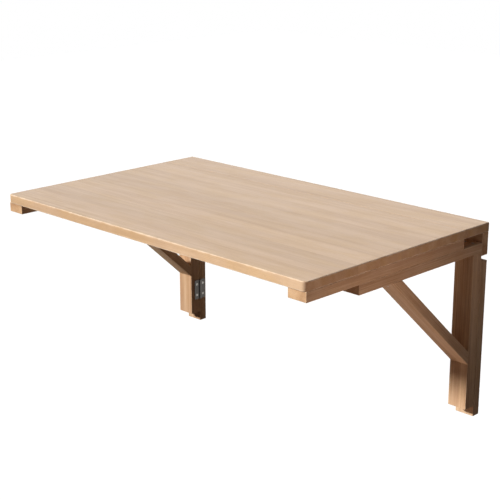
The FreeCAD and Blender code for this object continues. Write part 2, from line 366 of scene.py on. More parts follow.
@dataclass(frozen=True)
class TimberFinish:
    """Pale hardwood under a clear lacquer, which is thin on end grain and worn edges, whose pale edge colour is wear
    and, on the top, also a painted highlight.
    """

    slot: str
    strip_width: float = 1.0
    ring_pitch: float = 3.6 * MM
    pale: Colour = (0.61, 0.42, 0.265, 1.0)
    brown: Colour = (0.445, 0.275, 0.15, 1.0)
    pore: Colour = (0.26, 0.14, 0.065, 1.0)
    # pale colour of worn arrises; on the top it is made brighter still and is also a painted highlight along the
    # arrises
    rubbed: Colour = (0.70, 0.52, 0.34, 1.0)
    end_tint: Colour = (0.95, 0.91, 0.86, 1.0)
    aged_tint: Colour = (0.965, 0.935, 0.83, 1.0)
    late_share: float = 0.28          # how far each effect changes the colour
    streak_share: float = 0.6
    pore_share: float = 0.3
    end_share: float = 0.85
    grime_share: float = 0.16
    wear_share: float = 0.7
    strip_change: float = 0.035
    wear_reach: float = 2.6 * MM
    gloss_level: float = 0.78
    gloss_spread: float = 0.22
    dulling: float = 0.12             # more roughness on worn edges and end grain
    relief: float = 0.22              # strength of the bumps
    pore_depth: float = 0.3 * MM
    wood_gloss: float = 0.03          # specular level under the film
    film_weight: float = 0.03
    film_left: float = 0.1            # part of the film that is left on bare wood
    film_roughness: float = 0.24

    def material(self, name: str, board: BoardFrame, seed: float, effects: Effects) -> Material:
        """Make the material of one board, with the pattern laid in the board's own axes.

        Args:
            name: the material's name.
            board: where the board lies and how its fibres run.
            seed: picks the board's own figure.
            effects: the shared shader groups.

        Returns:
            The material.
        """
        material, w = new_material(name)
        at = w.add("ShaderNodeTexCoord").outputs
        turn = axes(board.grain, board.width)
        laid = w.out("ShaderNodeMapping", {
            "Vector": at["Object"], "Location": -(turn @ board.middle), "Rotation": turn.to_euler()})
        figure = effects.figure.place(w, {
            "Vector": laid, "Strip Width": self.strip_width, "Ring Pitch": self.ring_pitch, "Seed": seed})
        first, second = board.spared
        edges = effects.edges.place(w, {
            "Vector": w.vector("SUBTRACT", laid, Vector((0, (second - first) / 2, 0))),
            "Half Size": board.half + Vector((0, (first + second) / 2, 0)), "Reach": self.wear_reach})
        film = effects.film.place(w, {"Vector": laid, "Level": self.gloss_level, "Spread": self.gloss_spread})

        facing = w.vector("DOT_PRODUCT", at["Normal"], board.grain).node.outputs["Value"]
        end = w.ramp(w.sum("ABSOLUTE", facing), 0.55, 0.9)
        wear = edges["Wear"]
        streak = w.ramp(figure["Streak"], 0.36, 0.64)
        depth = w.plus(w.times(figure["Late Wood"], self.late_share), w.times(streak, self.streak_share))
        colour = w.blend(depth, self.pale, self.brown)
        aged = w.ramp(w.noise(laid, (9.0, 26.0, 26.0), 3.0), 0.40, 0.64)
        colour = w.blend(aged, colour, self.aged_tint, "MULTIPLY")
        change = w.ramp(figure["Strip Tone"], 0.0, 1.0, 1.0 - self.strip_change, 1.0 + self.strip_change)
        colour = w.out("ShaderNodeVectorMath", {0: colour, "Scale": change}, operation="SCALE")
        for mask, share, tint, mode in (
            (figure["Pores"], self.pore_share, self.pore, "MIX"),
            (end, self.end_share, self.end_tint, "MULTIPLY"),
            (edges["Grime"], self.grime_share, self.pore, "MIX"),
            # paint worn arrises pale; with the top's bright edge colour this is also a painted highlight
            (wear, self.wear_share, self.rubbed, "MIX"),
        ):
            colour = w.blend(w.times(mask, share), colour, tint, mode)
        bare = w.sum("MAXIMUM", end, w.times(wear, 0.6))
        w.surface({
            "Base Color": colour,
            "Roughness": w.plus(film["Roughness"], w.times(w.plus(wear, end), self.dulling)),
            "Normal": w.bumps(figure["Height"], self.relief, self.pore_depth),
            "Coat Weight": w.ramp(bare, 0.0, 1.0, self.film_weight, self.film_weight * self.film_left),
            "Coat Roughness": self.film_roughness,
            "Specular IOR Level": self.wood_gloss,
        })
        return material


@dataclass(frozen=True)
class SteelFinish:
    """Burnished steel, with fine lines left by rolling, and a colour kept very dark as painted shade for hinges that
    sit in shade.
    """

    lines: Triple                     # their cycles per metre along the three axes
    # base colours kept very dark as painted shade, standing for steel that reflects shaded surroundings
    light: Colour = (0.095, 0.088, 0.08, 1.0)
    dull: Colour = (0.06, 0.055, 0.049, 1.0)
    gloss_level: float = 0.38
    gloss_spread: float = 0.24
    dulling: float = 0.12             # more roughness where the steel is dull
    relief: float = 0.2               # strength of the bumps
    line_depth: float = 0.05 * MM

    def material(self, name: str, effects: Effects) -> Material:
        """Make the material.

        Args:
            name: the material's name.
            effects: the shared shader groups.

        Returns:
            The material.
        """
        material, w = new_material(name)
        at = w.add("ShaderNodeTexCoord").outputs["Object"]
        film = effects.film.place(w, {"Vector": at, "Level": self.gloss_level, "Spread": self.gloss_spread})
        lines = w.noise(at, self.lines)
        tarnish = w.ramp(film["Cloud"], 0.45, 0.75, 0.0, 0.55)
        spots = w.ramp(w.noise(at, (420.0, 420.0, 420.0)), 0.60, 0.75, 0.0, 0.35)
        dulled = w.plus(w.plus(tarnish, spots), w.times(lines, 0.3), clamp=True)
        w.surface({
            "Base Color": w.blend(dulled, self.light, self.dull),
            "Roughness": w.plus(film["Roughness"], w.times(dulled, self.dulling)),
            "Normal": w.bumps(lines, self.relief, self.line_depth),
            "Metallic": 1.0,
        })
        return material


def place_object(name: str, shape: Mesh) -> Piece:
    """Turn a bmesh into an object of the scene, at the origin.

    Args:
        name: the object's name.
        shape: the mesh, which is freed.

    Returns:
        The new object.
    """
    bmesh.ops.recalc_face_normals(shape, faces=shape.faces)
    mesh = bpy.data.meshes.new(name)
    shape.to_mesh(mesh)
    shape.free()
    piece = bpy.data.objects.new(name, mesh)
    bpy.context.scene.collection.objects.link(piece)
    return piece


def settle(piece: Piece) -> None:
    """Turn an object's modifiers into its plain mesh.

    Args:
        piece: the object, which keeps its name.
    """
    bpy.context.view_layer.update()
    graph = bpy.context.evaluated_depsgraph_get()
    mesh = bpy.data.meshes.new_from_object(piece.evaluated_get(graph), depsgraph=graph)
    old = piece.data
    piece.modifiers.clear()
    piece.data = mesh
    bpy.data.meshes.remove(old)
    mesh.name = piece.name


def combine(piece: Piece, other: Mesh, operation: str) -> None:
    """Cut another mesh from a piece, or weld it on.

    Args:
        piece: the object that is changed.
        other: the mesh that is used up.
        operation: DIFFERENCE or UNION.
    """
    tool = place_object("tool", other)
    step = piece.modifiers.new("combine", "BOOLEAN")
    step.operation, step.solver, step.object = operation, "EXACT", tool
    settle(piece)
    mesh = tool.data
    bpy.data.objects.remove(tool)
    bpy.data.meshes.remove(mesh)


def soften_shading(piece: Piece) -> None:
    """Shade rounded edges smoothly and keep sharper ones crisp."""
    piece.data.shade_smooth()
    piece.data.set_sharp_from_angle(angle=SMOOTH_LIMIT)


def dress(piece: Piece, material: Material) -> None:
    """Shade a piece with its flats kept flat, and give it its finish.

    Args:
        piece: the object.
        material: its finish.
    """
    soften_shading(piece)
    piece.modifiers.new("flats", "WEIGHTED_NORMAL").keep_sharp = True
    settle(piece)
    piece.data.materials.clear()
    piece.data.materials.append(material)


def hand_over(piece: Piece, body: str, nodes: Sequence[str]) -> None:
    """Tie a finished piece to its body and the solids that it stands for.

    Args:
        piece: the finished object.
        body: body that it moves with.
        nodes: solids that it stands for.
    """
    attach(piece, body)
    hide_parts(*nodes)
    log.info("%s on %s: %d faces", piece.name, body, len(piece.data.polygons))


def arc(radius: float, first: float, last: float, steps: int) -> list[tuple[float, float]]:
    """Points on an arc about the origin, in equal steps from the first angle to the last."""
    angles = [first + (last - first) * i / steps for i in range(steps + 1)]
    return [(radius * math.cos(a), radius * math.sin(a)) for a in angles]


def add_loft(shape: Mesh, outlines: Iterable[Iterable[Sequence[float]]]) -> None:
    """Add a closed solid that joins outlines one after the other.

    Args:
        shape: mesh that receives the solid.
        outlines: points of each outline, as many in each.
    """
    rings = [[shape.verts.new(point) for point in outline] for outline in outlines]
    shape.faces.new(reversed(rings[0]))
    shape.faces.new(rings[-1])
    for lower, upper in zip(rings, rings[1:]):
        for i in range(len(lower)):
            shape.faces.new((lower[i - 1], lower[i], upper[i], upper[i - 1]))


def block(low: Vector, high: Vector) -> Mesh:
    """Square-edged block.

    Args:
        low: its lowest corner.
        high: its highest corner.

    Returns:
        The mesh.
    """
    shape = bmesh.new()
    size = Matrix.Diagonal((*(high - low), 1))
    bmesh.ops.create_cube(shape, size=1, matrix=Matrix.Translation((low + high) / 2) @ size)
    return shape


def edges_on(shape: Mesh, plane: Plane, *others: Plane) -> list[Edge]:
    """Edges that lie on one plane and on none of some others.

    Args:
        shape: mesh to search.
        plane: the plane of the wanted edges.
        others: planes of the edges that are left out.

    Returns:
        The edges.
    """
    def lies(edge: Edge, axis: int, level: float) -> bool:
        """Whether both ends of an edge are on a plane."""
        return all(abs(vert.co[axis] - level) < TOLERANCE for vert in edge.verts)

    return [e for e in shape.edges if lies(e, *plane) and not any(lies(e, *other) for other in others)]


def bevel(shape: Mesh, edges: Iterable[Edge], radius: float, steps: int) -> None:
    """Round some edges of a mesh, with a number of faces across the rounding."""
    bmesh.ops.bevel(shape, geom=list(edges), offset=radius, offset_type="OFFSET", segments=steps, profile=0.5,
                    affect="EDGES", clamp_overlap=True)


@dataclass
class Fastener:
    """One screw, dowel or pin as the solids hold it."""

    head: Vector
    aim: Vector
    length: float
    head_r: float
    body_r: float

    def add_cutter(self, shape: Mesh, room: float) -> None:
        """Add the form of the hole that it sits in, with a countersink that opens past the surface.

        Args:
            shape: mesh that receives the form.
            room: clearance round and beyond the fastener.
        """
        body = self.body_r + room
        neck = self.head_r - self.body_r
        mouth = [(body, -room)]
        if neck >= room:
            mouth = [(self.head_r + HOLE_MOUTH, -HOLE_MOUTH), (body, neck - room)]
        turn = Z_WAY.rotation_difference(self.aim).to_matrix()
        add_loft(shape, [
            [self.head + turn @ Vector((u, v, depth)) for u, v in arc(radius, 0.0, 2 * math.pi, DRILL_SIDES)[:-1]]
            for radius, depth in (*mouth, (body, self.length + room))])


def drill(piece: Piece, holes: Iterable[Fastener], room: float) -> None:
    """Cut the holes of some fasteners.

    Args:
        piece: the object that is drilled.
        holes: the fasteners.
        room: clearance round and beyond each of them.
    """
    cutters = bmesh.new()
    for hole in holes:
        hole.add_cutter(cutters, room)
    combine(piece, cutters, "DIFFERENCE")


def islands(node: str) -> list[list[Vector]]:
    """Split a node's mesh into its separate solids.

    Args:
        node: name of the node.

    Returns:
        The corner points of each solid.
    """
    shape = bmesh.new()
    shape.from_mesh(frame["nodes"][node].data)
    bmesh.ops.remove_doubles(shape, verts=shape.verts, dist=1e-6)
    waiting = set(shape.verts)
    found = []
    while waiting:
        reached = [waiting.pop()]
        for vert in reached:
            near = {e.other_vert(vert) for e in vert.link_edges} & waiting
            waiting -= near
            reached += near
        found.append([vert.co.copy() for vert in reached])
    shape.free()
    return found


def fasteners(*nodes: str) -> list[Fastener]:
    """Read the fasteners of some nodes, each along one of the table's axes.

    Args:
        nodes: names of the nodes.

    Returns:
        The fasteners, node by node and in a steady order.
    """
    result = []
    for number, node in enumerate(nodes):
        for points in islands(node):
            low = Vector(min(p[i] for p in points) for i in range(3))
            high = Vector(max(p[i] for p in points) for i in range(3))
            size = high - low
            axis = max(range(3), key=lambda i: size[i])
            middle = (low + high) / 2
            reach = {}
            for level in (low[axis], high[axis]):
                ring = [p for p in points if abs(p[axis] - level) < TOLERANCE]
                centre = middle[:axis] + middle[axis + 1:]
                reach[level] = max(math.dist(p[:axis] + p[axis + 1:], centre) for p in ring)
            start = max(reach, key=lambda level: (round(reach[level], 5), -level))
            end = low[axis] + high[axis] - start
            head = middle.copy()
            head[axis] = start
            aim = Vector((0, 0, 0))
            aim[axis] = math.copysign(1, end - start)
            result.append((number, *head, Fastener(head, aim, size[axis], reach[start], reach[end])))
    return [entry[-1] for entry in sorted(result, key=lambda entry: entry[:-1])]


def wall_holes(thickness: float, mouth_r: float, *mounts: str) -> list[Fastener]:
    """Open countersunk holes of bolt patterns in a board on the wall, entered from the room.

    Args:
        thickness: thickness of the board.
        mouth_r: radius of the countersink at the surface.
        mounts: names of the patterns in the record.

    Returns:
        One stand-in fastener per hole.
    """
    patterns = {mount["name"]: mount for mount in frame["record"]["mounts"]}
    holes = []
    for pattern in (patterns[name] for name in mounts):
        sizes = pattern["dims"]
        along = X_WAY * (sizes.get("spacing_x_mm") or 0) + Z_WAY * (sizes.get("spacing_y_mm") or 0)
        for way in (-1, 1):
            head = Vector(pattern["pos_m"]) + way * along * MM / 2 - thickness * Y_WAY
            holes.append(Fastener(head, Y_WAY, thickness, mouth_r, sizes["hole_r_mm"] * MM))
    return holes


@dataclass
class Board:
    """A planed board with rounded arrises, drilled for its fasteners."""

    node: str
    body: str
    finish: TimberFinish
    grain: Vector
    width: Vector
    seed: float
    drilled_for: tuple[str, ...]
    open_holes: Sequence[Fastener] = ()
    arris: float = 1.2 * MM
    arris_steps: int = 4
    drill_room: float = 0.03 * MM

    @property
    def corners(self) -> tuple[Vector, Vector]:
        """Lowest and highest corner of the board's solid."""
        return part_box(self.node)

    def frame(self) -> BoardFrame:
        """The board's own axes, for its figure.

        Returns:
            The axes with the board's middle and half sizes.
        """
        low, high = self.corners
        size = axes(self.grain, self.width) @ (high - low)
        return BoardFrame(self.grain, self.width, (low + high) / 2, Vector(abs(v) / 2 for v in size))

    def blank(self) -> Mesh:
        """The board before its edges are rounded."""
        return block(*self.corners)

    def round_edges(self, shape: Mesh) -> None:
        """Round all the arrises of the blank."""
        bevel(shape, shape.edges, self.arris, self.arris_steps)

    def make(self, effects: Effects) -> None:
        """Build, drill and dress the board.

        Args:
            effects: the shared shader groups.
        """
        shape = self.blank()
        self.round_edges(shape)
        piece = place_object(self.node + "_board", shape)
        drill(piece, [*self.open_holes, *fasteners(*self.drilled_for)], self.drill_room)
        dress(piece, self.finish.material("timber_" + self.node, self.frame(), self.seed, effects))
        hand_over(piece, self.body, [self.node])


@dataclass
class TopBoard(Board):
    """Board of the table top: full rounding above, small arris below, square where the boards meet."""

    upper_r: float = 2.5 * MM
    lower_r: float = 1.5 * MM
    corner_r: float = 0.0
    corner_steps: int = 10
    square_ends: tuple[float, ...] = ()
    spared: float = 40 * MM           # how far wear stays off a square edge

    def frame(self) -> BoardFrame:
        """The board's own axes, with no wear along its square edges.

        Returns:
            The axes with the board's middle and half sizes.
        """
        own = super().frame()
        own.spared = tuple(self.spared * (corner.y in self.square_ends) for corner in self.corners)
        return own

    def round_edges(self, shape: Mesh) -> None:
        """Round the free corners first, then the upper and lower edges of the free sides.

        Args:
            shape: the square-edged blank.
        """
        low, high = self.corners
        if self.corner_r:
            bevel(shape, edges_on(shape, (Y, low.y), (Z, low.z), (Z, high.z)), self.corner_r, self.corner_steps)
        square = [(Y, level) for level in self.square_ends]
        for level, radius in ((high.z, self.upper_r), (low.z, self.lower_r)):
            bevel(shape, edges_on(shape, (Z, level), *square), radius, self.arris_steps)


@dataclass
class BraceBoard(Board):
    """Diagonal brace, cut level under the arm and plumb against the upright."""

    thickness: float = 22 * MM
    parallel: float = 0.99            # least cosine between a long edge and the fibres

    def slope(self) -> float:
        """Angle of the brace below the level."""
        low, high = self.corners
        return math.atan2(high.z - low.z, high.y - low.y)

    def frame(self) -> BoardFrame:
        """The brace's own axes, with the fibres down its slope.

        Returns:
            The axes with the brace's middle and half sizes.
        """
        low, high = self.corners
        run = Vector((0, high.y - low.y, low.z - high.z))
        half = Vector((run.length / 2, (high.x - low.x) / 2, self.thickness / 2))
        inset = self.thickness / 2 * Vector((0, math.sin(self.slope()), math.cos(self.slope())))
        return BoardFrame(run.normalized(), self.width, (low + high) / 2 + inset, half)

    def blank(self) -> Mesh:
        """Sloping prism between the arm and the upright.

        Returns:
            The mesh.
        """
        low, high = self.corners
        on_arm = self.thickness / math.sin(self.slope())
        on_upright = self.thickness / math.cos(self.slope())
        outline = [(low.y, high.z), (high.y, low.z), (high.y, low.z + on_upright), (low.y + on_arm, high.z)]
        shape = bmesh.new()
        add_loft(shape, [[(x, y, z) for y, z in outline] for x in (low.x, high.x)])
        bmesh.ops.recalc_face_normals(shape, faces=shape.faces)
        return shape

    def round_edges(self, shape: Mesh) -> None:
        """Round the four long edges.

        Args:
            shape: the square-edged blank.
        """
        along = self.frame().grain
        ways = {edge: (edge.verts[1].co - edge.verts[0].co).normalized() for edge in shape.edges}
        bevel(shape, [e for e, way in ways.items() if abs(way.dot(along)) > self.parallel], self.arris,
              self.arris_steps)


@dataclass
class HingePlate:
    """One half of a butt hinge: a plate whose edge is rolled into knuckles round the pin."""

    node: str
    pin: str
    screws: str
    body: str
    plate_way: Vector
    wood_way: Vector
    knuckles: Knuckles
    slot: str = "hinge_steel"
    thickness: float = 1.6 * MM
    knuckle_r: float = 3.0 * MM
    bore_r: float = 1.55 * MM
    near: float = 3.4 * MM            # from the pin to the plate's straight edge
    knuckle_count: int = 3
    knuckle_gap: float = 0.3 * MM
    corner_r: float = 2.0 * MM
    corner_steps: int = 6
    edge_r: float = 0.25 * MM
    edge_steps: int = 2
    lip_angle: float = math.radians(14)   # where the rolled edge ends, past the level
    weld: float = 0.3 * MM            # overlap of the roll with the plate before welding
    roll_steps: int = 28

    def __post_init__(self) -> None:
        """Read the pin's place and length, and the plate's width from it, off the solids."""
        low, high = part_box(self.pin)
        self.middle, self.length = (low + high) / 2, max(high - low)
        reach = max(self.plate_way.dot(corner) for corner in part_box(self.node))
        self.wide = reach - self.plate_way.dot(self.middle)

    def flat(self) -> Mesh:
        """The flat of the plate with rounded outer corners and eased edges.

        Returns:
            The mesh, in the hinge's axes.
        """
        low = Vector((self.near, self.knuckle_r - self.thickness, -self.length / 2))
        high = Vector((self.wide, self.knuckle_r, self.length / 2))
        shape = block(low, high)
        bevel(shape, edges_on(shape, (0, high.x), (Y, low.y), (Y, high.y)), self.corner_r, self.corner_steps)
        bevel(shape, edges_on(shape, (Y, low.y), (0, low.x)), self.edge_r, self.edge_steps)
        return shape

    def rolls(self) -> Mesh:
        """The knuckles that this plate carries.

        Returns:
            The mesh, in the hinge's axes.
        """
        far, inside = self.near + self.weld, self.knuckle_r - self.thickness
        lip = 2 * math.pi + self.lip_angle
        outline = [
            (far, self.knuckle_r), *arc(self.knuckle_r, math.pi / 2, lip, self.roll_steps),
            *arc(self.bore_r, lip, math.asin(inside / self.bore_r), self.roll_steps), (far, inside)]
        shape = bmesh.new()
        pitch = self.length / self.knuckle_count
        for i in range(self.knuckles.value, self.knuckle_count, 2):
            start = -self.length / 2 + pitch * i
            ends = (start + self.knuckle_gap / 2, start + pitch - self.knuckle_gap / 2)
            add_loft(shape, [[(u, v, z) for u, v in outline] for z in ends])
        return shape

    def make(self, steel: Material) -> None:
        """Build, drill and dress the plate.

        Args:
            steel: its material.
        """
        turn = axes(self.plate_way, self.wood_way).transposed().to_4x4()
        flat, rolls = self.flat(), self.rolls()
        for shape in (flat, rolls):
            bmesh.ops.transform(shape, matrix=Matrix.Translation(self.middle) @ turn, verts=shape.verts)
        piece = place_object(self.node + "_steel", flat)
        combine(piece, rolls, "UNION")
        low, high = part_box(self.node)
        drill(piece, [screw for screw in fasteners(self.screws)
                      if all(low[i] - MM < screw.head[i] < high[i] + MM for i in range(3))], 0.0)
        dress(piece, steel)
        hand_over(piece, self.body, [self.node])


class TurnedPieces:
    """Geometry nodes that set a turned piece at every point: screws, hinge pins and dowels."""

    RINGS = 5
    SIZES = ("End Radius", "Neck Radius", "Body Radius", "Tip Radius", "Land", "Neck Depth", "Taper Start", "Length",
             "Recess Radius", "Recess Width", "Recess Depth")
    WING_TAPER = 0.35                 # width of a recess at its bottom, as part of the top
    WING_LIFT = 0.08                  # how far a recess starts above the head, as part of its depth

    def __init__(self) -> None:
        """Build the tree with its named sizes."""
        inputs = {"Geometry": GEOMETRY} | floats(*self.SIZES)
        inputs |= {"Sides": "NodeSocketInt", "Seed": "NodeSocketInt", "Cross Recess": "NodeSocketBool",
                   "Material": "NodeSocketMaterial"}
        self.group = Group("turned_pieces", inputs, {"Geometry": GEOMETRY}, "GeometryNodeTree")
        self.wire()

    def wire(self) -> None:
        """Link a turned body, its cross recess and the instances."""
        w, given = self.group.wiring, self.group.given
        rod = w.out("GeometryNodeMeshCylinder", {
            "Vertices": given["Sides"], "Side Segments": self.RINGS - 1, "Radius": 1.0, "Depth": 1.0})
        x, y, z = w.split(w.out("GeometryNodeInputPosition"))
        step = w.sum("ROUND", w.times(w.plus(z, 0.5), float(self.RINGS - 1)))
        radius = self.pick(step, ["End Radius", "Neck Radius", "Body Radius", "Body Radius", "Tip Radius"])
        depth = self.pick(step, [None, "Land", "Neck Depth", "Taper Start", "Length"])
        to = w.join(w.times(x, radius), w.times(y, radius), depth)
        body = w.out("GeometryNodeSetPosition", {"Geometry": rod, "Position": to})

        cut = w.add("GeometryNodeMeshBoolean", {0: body}, operation="DIFFERENCE", solver="EXACT")
        for quarter in (0.0, math.pi / 2):
            w.feed(cut.inputs[1], self.wing(quarter))
        turned = w.out("GeometryNodeSwitch", {
            "Switch": given["Cross Recess"], "False": body, "True": cut.outputs["Mesh"]}, input_type="GEOMETRY")

        aim = w.out("GeometryNodeInputNamedAttribute", {"Name": "aim"}, data_type="FLOAT_VECTOR")
        upright = w.out("FunctionNodeAlignRotationToVector", {"Vector": aim}, axis="Z")
        chance = w.add("FunctionNodeRandomValue", {3: math.pi / 2, "Seed": given["Seed"]}, data_type="FLOAT")
        spin = w.out("FunctionNodeAxisAngleToRotation", {"Axis": Z_WAY, "Angle": chance.outputs[1]})
        turn = w.out("FunctionNodeRotateRotation", {0: upright, 1: spin}, rotation_space="LOCAL")
        set_out = w.out("GeometryNodeInstanceOnPoints", {
            "Points": given["Geometry"], "Instance": turned, "Rotation": turn})
        whole = w.out("GeometryNodeRealizeInstances", {"Geometry": set_out})
        self.group.give(geometry=w.out("GeometryNodeSetMaterial", {"Geometry": whole, "Material": given["Material"]}))

    def pick(self, step: Socket, names: list[str | None]) -> Socket:
        """Choose a size by the ring that a corner lies on.

        Args:
            step: number of the ring.
            names: size of each ring, or None for zero.

        Returns:
            The chosen size.
        """
        w = self.group.wiring
        switch = w.add("GeometryNodeIndexSwitch", {"Index": step}, data_type="FLOAT")
        while len(switch.index_switch_items) < len(names):
            switch.index_switch_items.new()
        for i, name in enumerate(names):
            if name:
                w.feed(switch.inputs[i + 1], self.group.given[name])
        return switch.outputs[0]

    def wing(self, quarter: float) -> Socket:
        """One wing of the cross recess, narrowing downwards.

        Args:
            quarter: turn of the wing about the axis.

        Returns:
            The wing's mesh.
        """
        w, given = self.group.wiring, self.group.given
        corner = math.sqrt(2)             # radius of a square whose half side is 1
        spike = w.out("GeometryNodeMeshCone", {
            "Vertices": 4, "Radius Top": self.WING_TAPER * corner, "Radius Bottom": corner, "Depth": 1.0})
        square = w.out("GeometryNodeTransform", {"Geometry": spike, "Rotation": Euler((0, 0, math.pi / 4))})
        return w.out("GeometryNodeTransform", {
            "Geometry": square, "Rotation": Euler((0, 0, quarter)),
            "Translation": w.join(z=w.times(given["Recess Depth"], -self.WING_LIFT)),
            "Scale": w.join(given["Recess Radius"], given["Recess Width"], given["Recess Depth"])})

    def make(self, name: str, places: list[Fastener], sizes: dict[str, Any]) -> Piece:
        """Set the turned pieces and turn them into one plain mesh.

        Args:
            name: the object's name.
            places: where the pieces sit.
            sizes: values of the tree's inputs.

        Returns:
            The object.
        """
        points = bpy.data.meshes.new(name)
        points.from_pydata([f.head for f in places], [], [])
        aim = points.attributes.new("aim", "FLOAT_VECTOR", "POINT")
        aim.data.foreach_set("vector", [c for f in places for c in f.aim])
        piece = bpy.data.objects.new(name, points)
        step = piece.modifiers.new("turned", "NODES")
        step.node_group = self.group.tree
        for item in self.group.tree.interface.items_tree:
            if item.in_out == "INPUT" and item.name in sizes:
                step[item.identifier] = sizes[item.name]
        bpy.context.scene.collection.objects.link(piece)
        settle(piece)
        soften_shading(piece)
        return piece


@dataclass
class FastenerSet:
    """All the screws, pins or dowels that one group of nodes holds."""

    nodes: Sequence[str]
    body: str
    slot: str
    cross: bool = False
    end_chamfer: float = 0.35 * MM
    head_land: float = 0.25 * MM
    taper: float = 0.8                # where a screw's point starts, as part of its length
    tip: float = 0.15                 # radius of its point, as part of the shank's
    recess: Triple = (0.58, 0.13, 0.55)   # radius, width and depth, as parts of the head's radius
    seed: int = 3

    def sizes(self, first: Fastener) -> dict[str, Any]:
        """Sizes of the turned piece.

        Args:
            first: one of the fasteners, which are all alike.

        Returns:
            Values by the name of the tree's input.
        """
        head, body, length = first.head_r, first.body_r, first.length
        if self.cross:
            radii = (head - self.head_land / 2, head, body, body * self.tip)
            depths = (self.head_land, head - body, length * self.taper, length)
            recess = tuple(head * part for part in self.recess)
        else:
            radii = (head - self.end_chamfer, head, head, head - self.end_chamfer)
            depths = (self.end_chamfer, length / 2, length - self.end_chamfer, length)
            recess = ()
        return dict(zip(TurnedPieces.SIZES, radii + depths + recess))

    def make(self, name: str, turned: TurnedPieces, material: Material) -> None:
        """Set and dress the fasteners.

        Args:
            name: the object's name.
            turned: the tree that sets them.
            material: their finish.
        """
        places = fasteners(*self.nodes)
        sizes = self.sizes(places[0]) | {
            "Cross Recess": self.cross, "Material": material, "Seed": self.seed, "Sides": TURNED_SIDES}
        hand_over(turned.make(name, places, sizes), self.body, self.nodes)


@dataclass
class Shop:
    """The finishes and tools that every sub-assembly uses."""

    effects: Effects = field(default_factory=Effects)
    turned: TurnedPieces = field(default_factory=TurnedPieces)
    # the top's edge colour is brighter than wear alone gives: a painted highlight along its arrises
    top: TimberFinish = TimberFinish(
        "top_wood", strip_width=68 * MM, film_weight=0.9, rubbed=(0.92, 0.77, 0.60, 1.0))
    members: TimberFinish = TimberFinish(
        "frame_wood", wear_reach=2.0 * MM, pale=(0.68, 0.485, 0.315, 1.0), brown=(0.36, 0.19, 0.105, 1.0),
        aged_tint=(0.97, 0.935, 0.88, 1.0))
    pegs: TimberFinish = TimberFinish("dowel_wood", pale=(0.64, 0.47, 0.30, 1.0))
    # both hinge finishes keep the very dark default colours, as painted shade
    leaf_hinges: SteelFinish = SteelFinish((14.0, 1500.0, 1500.0))
    bracket_hinges: SteelFinish = SteelFinish((1500.0, 1500.0, 14.0))
    screws: SteelFinish = SteelFinish(
        (300.0, 300.0, 300.0), light=(0.46, 0.44, 0.40, 1.0), dull=(0.30, 0.285, 0.255, 1.0))

    def __post_init__(self) -> None:
        """Make the metal materials once."""
        self.leaf_steel = self.leaf_hinges.material("steel_leaf_hinges", self.effects)
        self.bracket_steel = self.bracket_hinges.material("steel_bracket_hinges", self.effects)
        self.zinc = self.screws.material("zinc_screws", self.effects)

    def drive_screws(self, node: str, body: str, name: str = "") -> None:
        """Set the screws of one node, under a name of their own or one made from the node's."""
        screws = FastenerSet([node], body, "zinc_screw", cross=True)
        screws.make(name or node.replace("screws", "screw_set"), self.turned, self.zinc)


@dataclass
class WallFrame:
    """What stays on the wall: the rail, the rear shelf, the two wall plates and the dowels."""

    shop: Shop
    body: str = "wall_frame"
    hole_mouth_r: float = 5.5 * MM
    dowel_chamfer: float = 1.0 * MM

    def make(self) -> None:
        """Build and dress every piece."""
        shop, body = self.shop, self.body
        low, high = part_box("wall_rail")
        thick = high.y - low.y
        Board("wall_rail", body, shop.members, X_WAY, Z_WAY, 5.0, ("shelf_dowels",),
              wall_holes(thick, self.hole_mouth_r, "rail_outer_holes", "rail_inner_holes")).make(shop.effects)
        low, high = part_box("rear_shelf")
        TopBoard("rear_shelf", body, shop.top, X_WAY, Y_WAY, 11.0, ("shelf_hinge_screws", "shelf_dowels"),
                 square_ends=(low.y, high.y)).make(shop.effects)
        for side in Side:
            screws = f"wall_hinge_screws_{side.word}"
            Board(f"wall_plate_{side.word}", body, shop.members, Z_WAY, X_WAY, 20.0 + side.value, (screws,),
                  wall_holes(thick, self.hole_mouth_r, f"{side.word}_plate_holes")).make(shop.effects)
            shop.drive_screws(screws, body, f"plate_hinge_screw_set_{side.word}")
        shop.drive_screws("shelf_hinge_screws", body)
        low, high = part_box("shelf_dowels")
        lie = BoardFrame(Z_WAY, X_WAY, (low + high) / 2, (high - low) / 2)
        pegs = shop.pegs.material("timber_dowels", lie, 31.0, shop.effects)
        FastenerSet(["shelf_dowels"], body, shop.pegs.slot, end_chamfer=self.dowel_chamfer).make(
            "shelf_dowel_set", shop.turned, pegs)


@dataclass
class DropLeaf:
    """The hinged leaf with a batten under each end."""

    shop: Shop
    body: str = "leaf"
    corner_r: float = 11 * MM

    def make(self) -> None:
        """Build and dress every piece."""
        shop, body = self.shop, self.body
        screws = {side: f"batten_screws_{side.word}" for side in Side}
        TopBoard("drop_leaf", body, shop.top, X_WAY, Y_WAY, 2.0, (*screws.values(), "leaf_hinge_screws"),
                 corner_r=self.corner_r, square_ends=(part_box("drop_leaf")[1].y,)).make(shop.effects)
        for side, node in screws.items():
            Board(f"leaf_batten_{side.word}", body, shop.members, Y_WAY, X_WAY, 40.0 + side.value,
                  (node,)).make(shop.effects)
            shop.drive_screws(node, body)
        shop.drive_screws("leaf_hinge_screws", body)


@dataclass
class SwingBracket:
    """One triangular bracket: upright, arm and brace, with their screws."""

    shop: Shop
    side: Side

    def make(self) -> None:
        """Build and dress every piece."""
        word = self.side.word
        body = f"bracket_{word}"
        arm, brace, hinge = (f"{part}_screws_{word}" for part in ("arm", "brace", "bracket_hinge"))
        for kind, part, grain, seed, screws in (
            (Board, "upright", Z_WAY, 60.0, (hinge, arm, brace)),
            (Board, "arm", Y_WAY, 70.0, (arm, brace)),
            (BraceBoard, "brace", Y_WAY, 80.0, (brace,)),
        ):
            kind(f"{part}_{word}", body, self.shop.members, grain, X_WAY, seed + self.side.value,
                 screws).make(self.shop.effects)
        for node in (arm, brace, hinge):
            self.shop.drive_screws(node, body)


